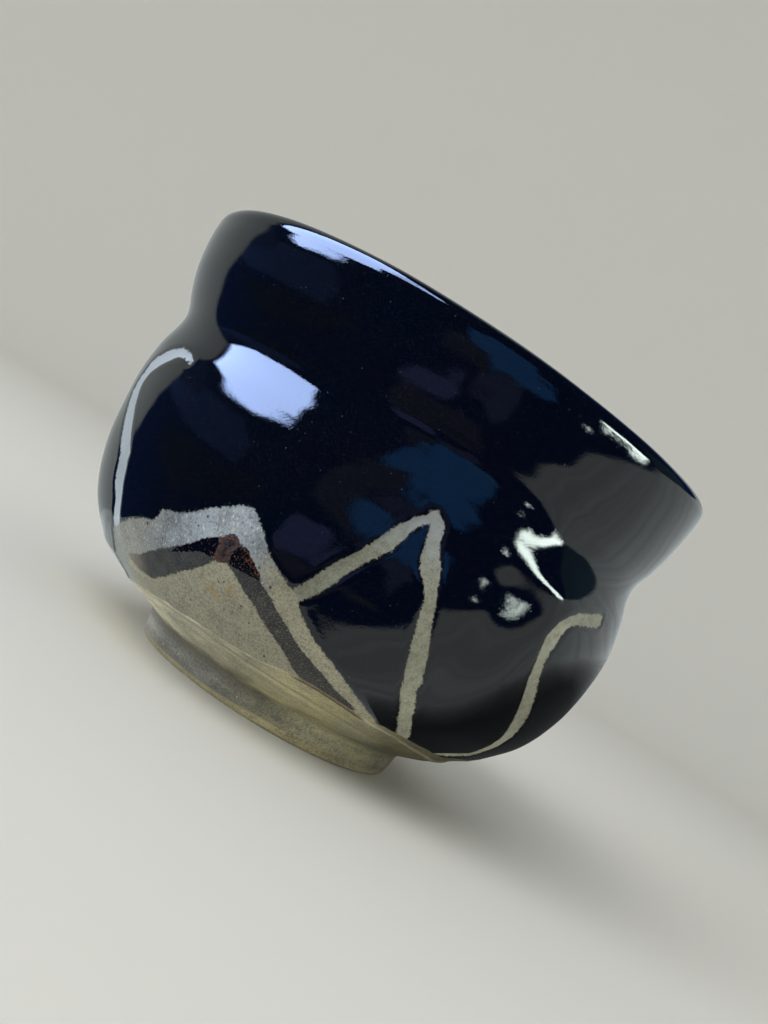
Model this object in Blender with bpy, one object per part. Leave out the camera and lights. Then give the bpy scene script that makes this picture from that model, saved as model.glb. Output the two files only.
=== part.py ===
"""Hand-thrown stoneware tea bowl with a flared rim, a pinched waist and a turned foot ring.

Metres, +Z up. The bowl stands upright on its foot ring, whose flat underside is at Z = 0, and
its brushed side faces -Y. Driving dimensions are in millimetres.
"""

import math

import bmesh
import bpy
from mathutils import Matrix, Vector
from mathutils.geometry import interpolate_bezier

MM = 0.001

# Foot ring
FOOT_FLAT_INNER = 23.2
FOOT_FLAT_OUTER = 28.8
FOOT_RADIUS = 29.8
FOOT_CHAMFER = 1.1
FOOT_NECK_RADIUS = 30.7
FOOT_NECK_FILLET = 1.4
FOOT_HEIGHT = 4.9
RECESS_RADIUS = 22.0
RECESS_BEVEL = 0.9
RECESS_DEPTH = 5.6
RECESS_CORNER = 1.6
RECESS_BOSS = 0.7
RECESS_BOSS_RADIUS = 12.0

# Outside of the body
UNDERSIDE_RADIUS = 39.0
UNDERSIDE_HEIGHT = 8.9
RIDGE_RADIUS = 46.3
RIDGE_HEIGHT = 13.6
RIDGE_STEP = 0.5
BELLY_RADIUS = 57.8
BELLY_HEIGHT = 43.8
WAIST_RADIUS = 55.2
WAIST_HEIGHT = 60.3
RIM_RADIUS = 59.3
RIM_BULGE_HEIGHT = 77.3
LIP_RADIUS = 59.4
LIP_HEIGHT = 80.6

# Wall thickness, square to the outside
WALL_AT_RIM = 4.2
WALL_AT_FOOT = 6.6

# Inside floor: a shallow pool that gathers the tea
FLOOR_EDGE_RADIUS = 30.5
FLOOR_EDGE_HEIGHT = 13.7
POOL_EDGE_RADIUS = 21.0
POOL_EDGE_HEIGHT = 13.0
POOL_RADIUS = 12.0
POOL_HEIGHT = 12.3
FLOOR_HEIGHT = 12.2

# What the thrower's hands left. The rim waves up and down twice around, and it tilts a little.
# The wall sways: each pair is a height and how far the wall leans towards +X there.
# Azimuth, in degrees, is 0 at -Y and grows towards +X.
RIM_WAVE = 1.1
RIM_WAVE_AZIMUTH = 9.0
RIM_TILT = 0.5
RIM_TILT_AZIMUTH = 127.0
SWAY = [
    (0.0, 0.9), (5.0, 0.9), (13.0, -0.3), (25.0, 0.3),
    (38.0, 0.5), (58.0, -0.1), (72.0, -0.4), (84.0, 0.0),
]

SEGMENTS = 72
CURVE_STEPS = 2
LIP_STEPS = 5
MERGE_DISTANCE = 0.001
SHARP_ANGLE = 35.0

GLAZE_COLOUR = (0.012, 0.014, 0.022, 1.0)
GLAZE_ROUGHNESS = 0.12


def clear_objects():
    for obj in list(bpy.data.objects):
        bpy.data.objects.remove(obj, do_unlink=True)


def smooth_path(points, steps):
    """A smooth curve through the points, as steps pieces between each pair of them."""
    knots = [Vector((radius, 0.0, height)) for radius, height in points]
    path = [knots[0]]
    for i in range(len(knots) - 1):
        here, there = knots[i], knots[i + 1]
        before = knots[i - 1] if i else here
        after = knots[i + 2] if i + 2 < len(knots) else there
        reach = (there - here).length / 3.0
        leave = here + (there - before).normalized() * reach
        arrive = there - (after - here).normalized() * reach
        path += interpolate_bezier(here, leave, arrive, there, steps + 1)[1:]
    return path


def foot_path():
    """The foot ring in section, from the middle of the recess to the neck under the body."""
    recess = smooth_path([
        (0.0, RECESS_DEPTH - RECESS_BOSS),
        (RECESS_BOSS_RADIUS, RECESS_DEPTH),
        (RECESS_RADIUS - RECESS_CORNER, RECESS_DEPTH),
        (RECESS_RADIUS, RECESS_DEPTH - RECESS_CORNER),
    ], CURVE_STEPS)
    corners = [
        (RECESS_RADIUS, RECESS_BEVEL),
        (FOOT_FLAT_INNER, 0.0),
        (FOOT_FLAT_OUTER, 0.0),
        (FOOT_RADIUS, FOOT_CHAMFER),
        (FOOT_NECK_RADIUS, FOOT_HEIGHT),
    ]
    return recess + [Vector((radius, 0.0, height)) for radius, height in corners]


def underside_path():
    """From the foot's neck out to the turned ridge, where the glaze begins."""
    return smooth_path([
        (FOOT_NECK_RADIUS + FOOT_NECK_FILLET, FOOT_HEIGHT + FOOT_NECK_FILLET / 2.0),
        (UNDERSIDE_RADIUS, UNDERSIDE_HEIGHT),
        (RIDGE_RADIUS - RIDGE_STEP, RIDGE_HEIGHT - RIDGE_STEP),
    ], CURVE_STEPS)


def body_path():
    """From the ridge up the belly, in at the waist and out to the lip."""
    return smooth_path([
        (RIDGE_RADIUS, RIDGE_HEIGHT),
        (52.3, 20.8),
        (56.2, 30.8),
        (BELLY_RADIUS, BELLY_HEIGHT),
        (56.9, 52.8),
        (WAIST_RADIUS, WAIST_HEIGHT),
        (57.0, 65.8),
        (58.4, 70.8),
        (RIM_RADIUS, RIM_BULGE_HEIGHT),
        (LIP_RADIUS, LIP_HEIGHT),
    ], CURVE_STEPS)


def wall_thickness(height):
    share = min(1.0, height / LIP_HEIGHT)
    return WALL_AT_FOOT + (WALL_AT_RIM - WALL_AT_FOOT) * share


def lip_path():
    """The rounded lip, a half circle from the outside over to the inside."""
    half = WALL_AT_RIM / 2.0
    path = []
    for step in range(1, LIP_STEPS):
        turn = math.pi * step / LIP_STEPS
        path.append(Vector((LIP_RADIUS - half + half * math.cos(turn), 0.0,
                            LIP_HEIGHT + half * math.sin(turn))))
    return path


def inside_path(outside):
    """The outside offset by the wall's thickness, read from the lip down, then the floor."""
    path = []
    for i in range(len(outside) - 1, 0, -1):
        after = outside[min(i + 1, len(outside) - 1)]
        along = (after - outside[i - 1]).normalized()
        inward = Vector((-along.z, 0.0, along.x))
        path.append(outside[i] + inward * wall_thickness(outside[i].z))
    floor = smooth_path([
        (path[-1].x, path[-1].z),
        (FLOOR_EDGE_RADIUS, FLOOR_EDGE_HEIGHT),
        (POOL_EDGE_RADIUS, POOL_EDGE_HEIGHT),
        (POOL_RADIUS, POOL_HEIGHT),
        (0.0, FLOOR_HEIGHT),
    ], CURVE_STEPS)
    return path + floor[1:]


def sway_at(height):
    """How far the wall leans towards +X at a height."""
    for (low, left), (high, right) in zip(SWAY, SWAY[1:]):
        if height <= high:
            share = (height - low) / (high - low)
            ease = share * share * (3.0 - 2.0 * share)
            return left + (right - left) * ease
    return SWAY[-1][1]


def rim_rise(azimuth, height):
    """The rim's wave and tilt, at full height on the lip and dying out at the waist."""
    share = (height - WAIST_HEIGHT) / (LIP_HEIGHT - WAIST_HEIGHT)
    share = min(1.0, max(0.0, share))
    wave = RIM_WAVE * math.sin(2.0 * (math.radians(RIM_WAVE_AZIMUTH) - azimuth))
    tilt = RIM_TILT * math.cos(azimuth - math.radians(RIM_TILT_AZIMUTH))
    return share * (wave + tilt)


def shape_by_hand(mesh):
    """Lean and wave the turned form."""
    for vertex in mesh.verts:
        x, y, z = vertex.co
        azimuth = math.atan2(x, -y)
        vertex.co = (x + sway_at(z), y, z + rim_rise(azimuth, z))


def glaze_material():
    material = bpy.data.materials.new("black_glazed_stoneware")
    material.use_nodes = True
    shader = material.node_tree.nodes["Principled BSDF"]
    shader.inputs["Base Color"].default_value = GLAZE_COLOUR
    shader.inputs["Roughness"].default_value = GLAZE_ROUGHNESS
    shader.inputs["Metallic"].default_value = 0.0
    return material


def make_tea_bowl():
    outside = foot_path() + underside_path() + body_path()
    inside = inside_path(underside_path()[CURVE_STEPS:] + body_path())
    section = outside + lip_path() + inside

    mesh = bmesh.new()
    ring = [mesh.verts.new(point) for point in section]
    edges = [mesh.edges.new(pair) for pair in zip(ring, ring[1:])]
    bmesh.ops.spin(mesh, geom=ring + edges, cent=(0, 0, 0), axis=(0, 0, 1),
                   angle=math.tau, steps=SEGMENTS)
    bmesh.ops.remove_doubles(mesh, verts=mesh.verts, dist=MERGE_DISTANCE)
    bmesh.ops.recalc_face_normals(mesh, faces=mesh.faces)
    shape_by_hand(mesh)
    mesh.transform(Matrix.Scale(MM, 4))

    data = bpy.data.meshes.new("tea_bowl")
    mesh.to_mesh(data)
    mesh.free()
    data.shade_smooth()
    data.set_sharp_from_angle(angle=math.radians(SHARP_ANGLE))
    data.materials.append(glaze_material())
    bowl = bpy.data.objects.new("tea_bowl", data)
    bpy.context.scene.collection.objects.link(bowl)
    return bowl


clear_objects()
make_tea_bowl()
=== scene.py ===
"""The looks of a hand-thrown stoneware tea bowl in black glaze.

The bowl stands upright on its foot ring, in metres, +Z up, and its brushed side faces -Y.
Lines left free of glaze zigzag over the black. Beside the foot is a cream window with a bent
stroke of iron pigment in it, and the foot itself is bare turned clay.

Lengths in this script are in millimetres until the mesh is finished. Azimuth, in degrees, is 0 at
-Y and grows towards +X.
"""

import math
import random
from functools import cached_property

import bmesh
import bpy
import numpy as np
from mathutils import Matrix, Vector
from mathutils.geometry import interpolate_bezier


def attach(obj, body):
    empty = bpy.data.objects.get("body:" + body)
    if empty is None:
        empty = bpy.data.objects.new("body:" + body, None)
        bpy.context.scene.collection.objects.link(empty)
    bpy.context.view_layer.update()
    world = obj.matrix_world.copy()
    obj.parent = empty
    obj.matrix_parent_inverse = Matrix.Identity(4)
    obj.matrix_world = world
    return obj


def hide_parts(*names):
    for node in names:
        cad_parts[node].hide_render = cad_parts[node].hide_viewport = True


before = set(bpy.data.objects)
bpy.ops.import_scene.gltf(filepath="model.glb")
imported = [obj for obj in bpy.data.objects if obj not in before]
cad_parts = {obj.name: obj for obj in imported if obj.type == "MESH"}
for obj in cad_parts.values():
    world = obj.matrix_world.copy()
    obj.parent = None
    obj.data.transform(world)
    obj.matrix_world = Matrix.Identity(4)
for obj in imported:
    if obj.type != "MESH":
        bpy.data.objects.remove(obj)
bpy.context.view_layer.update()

MM = 0.001

# The turned form, as radius and height
RECESS = [(0, 4.9), (12, 5.6), (20.4, 5.6), (22, 4)]
FOOT_CORNERS = [(22, 4), (22, 0.9), (23.2, 0), (29.3, 0), (29.85, 0.5), (30.6, 4.6)]
UNDERSIDE = [(31.1, 5.3), (32.6, 6.3), (35, 7.3), (39, 9), (45.8, 13.1)]
BODY = [
    (46.3, 13.6), (52.3, 20.8), (56.2, 30.8), (57.8, 43.8), (56.9, 52.8), (55.2, 60.3), (57, 65.8),
    (58.4, 70.8), (59.3, 77.3), (59.4, 80.6),
]
FLOOR = [(30.5, 13.7), (21, 13), (12, 12.3), (0, 12.2)]
LIP_RADIUS, LIP_HEIGHT = BODY[-1]
WAIST_HEIGHT = 60.3
WALL_AT_RIM = 4.2
WALL_AT_FOOT = 6.6

# What the thrower's hands left
RIM_WAVE = 1.1
RIM_WAVE_AZIMUTH = 9.0
RIM_TILT = 0.5
RIM_TILT_AZIMUTH = 127.0
SWAY_HEIGHTS = [0, 5, 13, 25, 38, 58, 72, 84]
SWAY_LEANS = [0.9, 0.9, -0.3, 0.3, 0.5, -0.1, -0.4, 0]
PRESS_AZIMUTHS = [-18, 4, 27, 42]
PRESS_HEIGHTS = [14, 24, 35, 42, 45, 47, 49, 50.5, 52, 54, 56, 58, 60, 61.5, 63, 66]
PRESS_DEPTHS = [
    0, -1.3, -1.6, -1.8, -2, -1.9, -1.55, -1.25, -0.95, -0.5, 0, 0.5, 0.75, 0.6, 0.3, 0,
]
# Soft swellings on the wall: azimuth, height, reach sideways, below and above, and how far out
SWELLINGS = [
    (28, 51.2, 13, 2.4, 2.4, 0.2), (39, 51.6, 9, 2.6, 2.6, 0.2), (41, 50.4, 9, 4.6, 2.6, 0.22),
    (27, 61.6, 9, 2.2, 2, 0.075), (23, 41.6, 4.5, 2.5, 2.5, 0.075),
]

# Inputs of the tree that turns the form: how finely it is cut and welded, and the depth, pitch
# and seed of the thrower's rings and of the wall's unevenness
TURNING = {
    "Segments": 440, "Weld": 0.004, "Ring Depth": 0.14, "Ring Pitch": 7.0,
    "Ring Seed": 3.0, "Hand Depth": 0.22, "Hand Pitch": 26.0, "Hand Seed": 10.0,
}
RING_FLATTENED = (0.12, 0.12, 1.0)

# The section: steps between two of its points, spacing of its rows, and its parts
CURVE_STEPS = 24
FINE_ROW = 0.75
FOOT_ROW = 0.7
LIP_ROW = 0.9
HIDDEN_ROW = 2.3
FOOT, UNDER, WALL, LIP, INSIDE = range(5)
SHARP_ANGLE = 50.0

# Brush work on the wall. A line is azimuth, height and half its width at each point.
LEFT_LINE = [
    (-49.1, 51.9, 0.5), (-51.8, 52.7, 0.7), (-55.4, 52.5, 1), (-60.3, 50.4, 1.7),
    (-64.7, 47.6, 2.1), (-65.8, 42.7, 2.1), (-62.3, 38.2, 2.1), (-58.8, 34.7, 2),
    (-54.7, 30.6, 2.1), (-53.9, 26.6, 2.1), (-52.2, 22.9, 1.3), (-52.1, 18, 1.4),
]
LEFT_LIMB = [
    (8.9, 50, 0.7), (7, 48.1, 0.9), (5.8, 45.6, 1.15), (4.8, 42.8, 1.5), (3.5, 40.5, 1.3),
    (2.1, 38.1, 1.1), (0.2, 34.9, 1.3), (-1.4, 31.3, 1.5), (-2.8, 28.7, 1.25), (-4.4, 26.5, 1.2),
]
RIGHT_LIMB = [
    (9.1, 50.9, 0.85), (10.7, 49.4, 1.3), (11.4, 47.1, 1.2), (12.7, 44, 1.75), (13.8, 42.5, 1.8),
    (15.4, 40.4, 1.2), (16.7, 38.1, 1.05), (18.3, 34.3, 1.4), (19.8, 31.2, 1.6), (22.1, 26.9, 1.7),
    (23.6, 24.7, 1.7), (24.5, 22.4, 1.45), (29.2, 17.4, 1.25), (34.2, 13.9, 1.2),
]
RIGHT_LINE = [
    (48.5, 13.2, 0.6), (56.8, 16, 1), (55.9, 19.6, 1.3), (54.9, 23.2, 1.5), (51.7, 27.4, 1.75),
    (49.1, 30.4, 1.65), (45, 35.4, 1.3), (43.2, 39.2, 1.2), (42.7, 41.2, 1.4), (42.4, 43.5, 1.7),
    (43, 46.2, 1.3), (44.3, 47.8, 1), (46.4, 49, 1.1), (54.7, 51, 1.35),
]
BACK_LINE = [
    (150, 13.4, 1.1), (157, 21, 1.4), (163, 29, 1.7), (171, 37, 1.3), (178, 44, 1.5),
    (187, 50.5, 1.1), (196, 47, 1.3), (203, 40, 1.5), (209, 32, 1.2), (212, 25, 1.4),
    (218, 18, 1.2), (224, 13.2, 1),
]
RESERVE_LINES = [LEFT_LINE, LEFT_LIMB, RIGHT_LIMB, RIGHT_LINE, BACK_LINE]

# Areas, as azimuth and height round their edges
WINDOW = [
    (-58, 8), (-55, 17.4), (-49.8, 19.4), (-44.8, 21.7), (-40, 23.4), (-37.2, 24.1), (-36.1, 26.6),
    (-31.9, 27.8), (-28.9, 29.4), (-24.8, 32.2), (-19, 35.7), (-17.6, 35.6), (-14.3, 33.3),
    (-12.6, 31.2), (-9.1, 29.1), (-5.9, 27.6), (-4.7, 27.7), (-1.6, 24.6), (2.5, 22.2), (8.4, 20),
    (15.5, 17.3), (21.3, 15.3), (26, 14), (26, 8),
]
IRON_STROKE = [
    (-47.6, 15.2), (-41, 17), (-34, 20.4), (-27.4, 24), (-25, 26.1), (-21.7, 28.2), (-19.5, 30.2),
    (-18.6, 30.2), (-17.4, 29.3), (-16.1, 29.7), (-13.3, 27.8), (-10.7, 25.6), (-8.9, 24.7),
    (-4.7, 22.5), (-0.3, 20.1), (2.6, 19), (6.2, 17.9), (12.6, 16), (20.4, 14), (21.8, 13.6),
    (6.4, 13.9), (4.4, 14.5), (1.7, 15.8), (-1.7, 17.5), (-4.7, 18.7), (-7.2, 19.8), (-10.3, 21.5),
    (-14, 23.3), (-17.5, 24.8), (-18.8, 25.5), (-20.8, 24.2), (-24.6, 20.7), (-27.6, 18.9),
    (-31.9, 16.4), (-36.6, 14.3), (-42.6, 13.9), (-46.3, 14.5),
]
# Inside the bent stroke, down over the turned ridge
PANE_INSIDE = IRON_STROKE[20:] + [(-50, 9), (6, 9)]
BLACK_CRUSTS = [
    [(-32.4, 20.4), (-29.7, 22.5), (-26.9, 24.5), (-24.4, 26.6), (-21.4, 28.5), (-21, 27.1),
     (-21.1, 24.5), (-23.3, 24.4), (-25.6, 23.6), (-27.8, 22.5)],
    [(-17.8, 28.3), (-16.5, 29.4), (-15.1, 29.1), (-14, 28.2), (-12.3, 27.2), (-10.8, 25.9),
     (-12.1, 25.5), (-14.3, 25.4), (-16.1, 25.2), (-17.4, 25.1), (-18, 25.6)],
]
RUST_BLOB = [
    (-21.6, 28.1), (-20.3, 29.4), (-19.3, 30.3), (-17.9, 30.1), (-17.2, 29.2), (-17.4, 28.2),
    (-18.3, 27.1), (-17.7, 25.8), (-18.4, 25.2), (-20, 24.4), (-20.9, 25), (-21.1, 26.2),
    (-20.9, 27.2),
]
RUST_MARGIN = [
    (-17, 28.8), (-15.9, 29.3), (-14, 28.3), (-12.3, 27.2), (-11.2, 26.2), (-12.4, 26.2),
    (-13.6, 27), (-15.2, 27.3), (-16.3, 28),
]
# Stains and dark specks, as azimuth, height and radius
STAINS = [(-20, 19.8, 0.55), (-18.2, 19.4, 0.5), (-15.5, 21.4, 0.6), (-17.1, 18.7, 0.35)]
DARK_SPECKS = [
    (-25.4, 30.3, 0.19), (-12.2, 27.7, 0.19), (-8.8, 25.8, 0.22), (-3.8, 14.4, 0.22),
    (-9.5, 18.3, 0.14), (-12.3, 20.2, 0.12), (-24, 15.7, 0.14), (-27.4, 28.2, 0.14),
    (-26.5, 28, 0.17), (-18.3, 21.7, 0.12), (-17.3, 22.2, 0.12), (25.1, 12.1, 0.17),
    (-0.8, 9.5, 0.26), (-16.7, 2.5, 0.26), (22.1, 3.5, 0.19), (-16.1, 4.3, 0.17),
    (-39.4, 22.9, 0.26), (-36, 5, 0.17), (38, 4.6, 0.17), (12, 5.4, 0.15),
]
# Distances from the brush work are kept up to FAR. Its edges are followed in steps, as a share
# of the stretch between two points.
FAR = 30.0
PATH_STEP = 0.125

# Height of the coating's lower edge round the bowl. In front it ends on the turned ridge.
COAT_AZIMUTHS = [
    -180, -150, -120, -90, -70, -59, -47, -39, -33, -27, -23, -16, -9, -4, 1, 6, 10, 15, 22, 28,
    40, 52, 57, 75, 100, 130, 155, 180,
]
COAT_HEIGHTS = [
    13.6, 14.4, 13.2, 13.6, 11.8, 9.8, 10.7, 11.4, 11.9, 12.1, 12.5, 12.7, 12.8, 13.2, 13.8, 14.3,
    14.4, 14.1, 13.6, 14, 13.5, 12.9, 13.7, 14.3, 13.4, 14.2, 13.3, 13.6,
]

# The turned ridge where the coating ends in front, and the crease that winds out of it
RIDGE_AZIMUTHS = [-180, -59, -47, -36, -28, -18, -8, 0, 4, 10, 18, 25, 33, 60, 180]
RIDGE_HEIGHTS = [
    9.8, 9.6, 10.6, 11.5, 11.9, 12.5, 12.7, 13.5, 14.1, 14.4, 13.9, 13.1, 12.8, 10.2, 9.8,
]
CREASE_AZIMUTHS = [-180, -54, -44, -35, -29, -20, -13, -5, 10, 60, 180]
CREASE_HEIGHTS = [8.9, 9.7, 10.5, 11, 11.3, 11.4, 11.2, 11.2, 11, 9.4, 8.9]
RIDGE_RISE = 0.3
RIDGE_WIDTH = 0.4

# The step from the glaze down to the bare clay: its depth, and where it begins and ends beside
# the lines and along the coating's edge. A bead of glaze stands along it.
GLAZE_COAT = 0.22
LINE_STEP = (-0.4, 0.5)
COAT_STEP = (-0.5, 0.4)
GLAZE_BEAD = 0.06
BEAD_REACH = 0.8
BEAD_WIDTH = 0.6

# Top of the pale band of painted light along the foot's lower edge
BAND_AZIMUTHS = [-180, -90, -41, -28, -17, -8, 1, 12, 20, 30, 53, 110, 180]
BAND_HEIGHTS = [1, 0.9, 1, 1.05, 1.15, 1.3, 1.7, 1.9, 2, 1.7, 1.5, 0.9, 1]
LEVELS = [
    ("coat", COAT_AZIMUTHS, COAT_HEIGHTS), ("ridge", RIDGE_AZIMUTHS, RIDGE_HEIGHTS),
    ("crease", CREASE_AZIMUTHS, CREASE_HEIGHTS), ("band", BAND_AZIMUTHS, BAND_HEIGHTS),
]

# The camera, in metres and degrees. It is rolled, because the photographed bowl was tipped.
CAMERA_PLACE = (0.0, -0.2475, 0.0441)
CAMERA_YAW = 0.42
CAMERA_PITCH = 0.81
CAMERA_ROLL = 31.73
CAMERA_LENS = 40.21
CAMERA_NEAR = 0.01


def math_node(operation, *terms, clamp=False):
    """A Math node on wires and numbers."""
    graph = next(term.graph for term in terms if isinstance(term, Wire))
    settings = {"operation": operation, "use_clamp": clamp}
    return graph.node("ShaderNodeMath", settings, dict(enumerate(terms)))


def operators(operation):
    """A Python operator and its reflected form, each as a Math node."""
    return (lambda wire, other: math_node(operation, wire, other),
            lambda wire, other: math_node(operation, other, wire))


class Wire:
    """One socket in a node tree. Adding, multiplying and so on add the Math nodes."""

    __add__, __radd__ = operators("ADD")
    __sub__, __rsub__ = operators("SUBTRACT")
    __mul__, __rmul__ = operators("MULTIPLY")
    __truediv__, __rtruediv__ = operators("DIVIDE")

    def __init__(self, graph, socket):
        self.graph = graph
        self.socket = socket

    def held(self):
        """Held between 0 and 1."""
        return math_node("ADD", self, 0.0, clamp=True)

    def least(self, other):
        return math_node("MINIMUM", self, other)

    def most(self, other):
        return math_node("MAXIMUM", self, other)

    def whole(self):
        return math_node("FLOOR", self)

    def unsigned(self):
        return math_node("ABSOLUTE", self)


def pick(sockets, key):
    """A socket by number, or by name among those that the node's settings leave in use."""
    if isinstance(key, int):
        return sockets[key]
    return next(socket for socket in sockets if socket.name == key and socket.enabled)


class Graph:
    """A node tree that is emptied, and then filled by one method. Colours are given as RGB."""

    def __init__(self, tree):
        self.tree = tree
        tree.nodes.clear()

    def node(self, kind, settings=None, inputs=None, output=0):
        node = self.tree.nodes.new(kind)
        for name, value in (settings or {}).items():
            setattr(node, name, value)
        for key, value in (inputs or {}).items():
            socket = pick(node.inputs, key)
            if isinstance(value, Wire):
                self.tree.links.new(value.socket, socket)
            elif socket.type == "RGBA":
                socket.default_value = (*value, 1)
            else:
                socket.default_value = value
        if not node.outputs:
            return None
        return Wire(self, pick(node.outputs, output))

    def axes(self, vector):
        """The X, Y and Z of a vector."""
        return [self.node("ShaderNodeSeparateXYZ", None, {"Vector": vector}, axis)
                for axis in "XYZ"]

    def stretched(self, vector, factors):
        return self.node("ShaderNodeVectorMath", {"operation": "MULTIPLY"},
                         {0: vector, 1: factors})


def scaled(vector, amount):
    """A vector or a colour times an amount that varies."""
    return amount.graph.node("ShaderNodeVectorMath", {"operation": "SCALE"},
                             {"Vector": vector, "Scale": amount})


def new_object(name, data):
    """An object in the scene, at the origin."""
    made = bpy.data.objects.new(name, data)
    bpy.context.scene.collection.objects.link(made)
    return made


# --- The turned form ---


def smooth_path(points):
    """A smooth, finely cut curve through the points."""
    knots = [Vector((radius, 0, height)) for radius, height in points]
    path = [knots[0]]
    for i in range(len(knots) - 1):
        here, there = knots[i], knots[i + 1]
        before = knots[i - 1] if i else here
        after = knots[i + 2] if i + 2 < len(knots) else there
        reach = (there - here).length / 3
        leave = here + (there - before).normalized() * reach
        arrive = there - (after - here).normalized() * reach
        path += interpolate_bezier(here, leave, arrive, there, CURVE_STEPS + 1)[1:]
    return np.array([(point.x, point.z) for point in path])


def even_path(path, spacing):
    """The same curve cut into equal pieces of about the spacing."""
    path = np.asarray(path, float)
    steps = np.hypot(*np.diff(path, axis=0).T)
    along = np.concatenate([[0], np.cumsum(steps)])
    count = max(1, round(along[-1] / spacing))
    stations = np.linspace(0, along[-1], count + 1)
    return np.stack([np.interp(stations, along, column) for column in path.T], axis=1)


def corner_path(corners, spacing):
    """Straight runs between corners, each cut into equal pieces."""
    runs = [even_path(pair, spacing)[1:] for pair in zip(corners, corners[1:])]
    return np.concatenate([[corners[0]], *runs])


def lip_path():
    """The rounded lip, a half circle from the outside over to the inside."""
    half = WALL_AT_RIM / 2
    turns = np.linspace(0, math.pi, 1 + round(math.pi * half / LIP_ROW))[1:-1]
    return np.stack([LIP_RADIUS - half + half * np.cos(turns),
                     LIP_HEIGHT + half * np.sin(turns)], axis=1)


def inside_path(outside):
    """The outside offset by the wall's thickness, from the lip down, and then the floor."""
    down = outside[::-1]
    along = np.gradient(outside, axis=0)[::-1]
    along /= np.linalg.norm(along, axis=1)[:, None]
    share = np.minimum(1, down[:, 1] / LIP_HEIGHT)
    thickness = WALL_AT_FOOT + (WALL_AT_RIM - WALL_AT_FOOT) * share
    wall = down + np.stack([-along[:, 1], along[:, 0]], axis=1) * thickness[:, None]
    floor = smooth_path([tuple(wall[-1])] + FLOOR)
    return even_path(np.concatenate([wall, floor[1:]]), HIDDEN_ROW)


def section():
    """The whole section, from the middle of the recess to the middle of the floor inside."""
    wall = smooth_path(BODY)
    pieces = [
        (FOOT, even_path(smooth_path(RECESS), HIDDEN_ROW)),
        (FOOT, corner_path(FOOT_CORNERS, FOOT_ROW)[1:]),
        (UNDER, even_path(smooth_path(UNDERSIDE), FOOT_ROW)),
        (WALL, even_path(wall, FINE_ROW)),
        (LIP, lip_path()),
        (INSIDE, inside_path(wall)),
    ]
    points = np.concatenate([path for _, path in pieces])
    parts = np.concatenate([np.full(len(path), part) for part, path in pieces])
    return points, parts


def turned_form_tree():
    """Turns a section, given as a row of points, round the Z axis and leaves throwing rings."""
    tree = bpy.data.node_groups.new("turned_form", "GeometryNodeTree")
    graph = Graph(tree)
    wanted = {"Section": "Geometry", "Finish": "Material"}
    for name, value in TURNING.items():
        wanted[name] = "Int" if isinstance(value, int) else "Float"
    for name, kind in wanted.items():
        tree.interface.new_socket(name, in_out="INPUT", socket_type="NodeSocket" + kind)
    tree.interface.new_socket("Bowl", in_out="OUTPUT", socket_type="NodeSocketGeometry")
    given = {name: graph.node("NodeGroupInput", None, None, name) for name in wanted}

    rows = graph.node("GeometryNodeAttributeDomainSize", {"component": "MESH"},
                      {"Geometry": given["Section"]}, "Point Count")
    columns = given["Segments"] + 1
    sheet = graph.node("GeometryNodeMeshGrid", None, {"Vertices X": columns, "Vertices Y": rows})
    index = graph.node("GeometryNodeInputIndex")
    column = ((index + 0.5) / rows).whole()
    row = index - column * rows
    place = graph.node("GeometryNodeInputPosition")
    point = graph.node("GeometryNodeSampleIndex", {"data_type": "FLOAT_VECTOR"},
                       {"Geometry": given["Section"], "Value": place, "Index": row})
    radius, _, height = graph.axes(point)
    turn = column * math.tau / given["Segments"]
    east = radius * math_node("SINE", turn)
    south = radius * math_node("COSINE", turn) * -1.0
    turned = graph.node("ShaderNodeCombineXYZ", None, {"X": east, "Y": south, "Z": height})
    named = graph.node("GeometryNodeStoreNamedAttribute", {"data_type": "FLOAT"},
                       {"Geometry": sheet, "Name": "row", "Value": row})
    form = graph.node("GeometryNodeSetPosition", None, {"Geometry": named, "Position": turned})
    closed = graph.node("GeometryNodeMergeByDistance", None,
                        {"Geometry": form, "Distance": given["Weld"]})

    def wander(kind, where):
        found = graph.node("ShaderNodeTexNoise", {"noise_dimensions": "4D"}, {
            "Vector": where, "W": given[kind + " Seed"], "Scale": 1.0 / given[kind + " Pitch"],
            "Detail": 1.0})
        return (found - 0.5) * given[kind + " Depth"]

    swell = wander("Ring", graph.stretched(place, RING_FLATTENED)) + wander("Hand", place)
    push = scaled(graph.node("GeometryNodeInputNormal"), swell * 2.0)
    thrown = graph.node("GeometryNodeSetPosition", None, {"Geometry": closed, "Offset": push})
    smooth = graph.node("GeometryNodeSetShadeSmooth", None, {"Geometry": thrown})
    real = graph.node("GeometryNodeRealizeInstances", None, {"Geometry": smooth})
    done = graph.node("GeometryNodeSetMaterial", None,
                      {"Geometry": real, "Material": given["Finish"]})
    graph.node("NodeGroupOutput", None, {"Bowl": done})
    return tree


def evaluated_piece(name, source, tree, sizes):
    """A plain mesh object, made by a Geometry Nodes tree from a source mesh."""
    maker = new_object(name + "_maker", source)
    modifier = maker.modifiers.new(tree.name, "NODES")
    modifier.node_group = tree
    for item in tree.interface.items_tree:
        if item.in_out == "INPUT" and item.name in sizes:
            modifier[item.identifier] = sizes[item.name]
    seen = maker.evaluated_get(bpy.context.evaluated_depsgraph_get())
    data = bpy.data.meshes.new_from_object(seen)
    bpy.data.objects.remove(maker)
    data.name = name
    return new_object(name, data)


def face_outwards(data):
    """Makes every face point outwards. The mesh is one closed shell."""
    mesh = bmesh.new()
    mesh.from_mesh(data)
    bmesh.ops.recalc_face_normals(mesh, faces=mesh.faces)
    if mesh.calc_volume(signed=True) < 0:
        bmesh.ops.reverse_faces(mesh, faces=mesh.faces)
    mesh.to_mesh(data)
    mesh.free()


# --- Hand work on the mesh, in millimetres ---


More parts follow.
